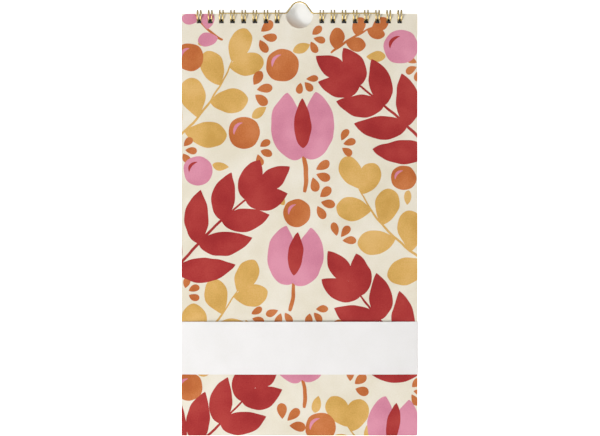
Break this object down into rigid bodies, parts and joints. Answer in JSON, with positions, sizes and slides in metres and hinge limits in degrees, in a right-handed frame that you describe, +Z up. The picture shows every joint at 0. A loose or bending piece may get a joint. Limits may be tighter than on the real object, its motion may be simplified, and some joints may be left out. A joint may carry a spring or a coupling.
{
  "type": "birthday calendar",
  "caption": "Tall wall calendar for birthdays: sheets bound along the top with twin-loop wire, a bent wire hanger, a thumb cut for it and a paper band that keeps the sheets shut.",
  "frame": {"origin": "inside of the hanger's crown, where a nail carries the calendar", "axes": "+X to the right as seen from the front, +Y to the wall behind, +Z up along the sheets"},
  "size_m": [0.18, 0.009, 0.33],
  "materials": {
    "cover_card": "matte",
    "page_paper": "matte",
    "grey_board": "matte",
    "gold_wire": "gloss",
    "band_paper": "matte"
  },
  "bodies": {
    "hanger": {"hanger": "gold_wire"},
    "calendar": {"front_cover": "cover_card", "month_pages": "page_paper", "back_board": "grey_board", "binding_wire_left": "gold_wire", "binding_wire_right": "gold_wire"},
    "band": {"paper_band": "band_paper"}
  },
  "joints": [
    {"name": "calendar_swing", "type": "hinge", "parent": "hanger", "child": "calendar", "pos_m": [0, 0, -0.0081], "axis": [-1, 0, 0], "continuous": true},
    {"name": "band_slide", "type": "slide", "parent": "calendar", "child": "band", "axis": [0, 0, -1], "range_m": [-0.227, 0.09]}
  ]
}
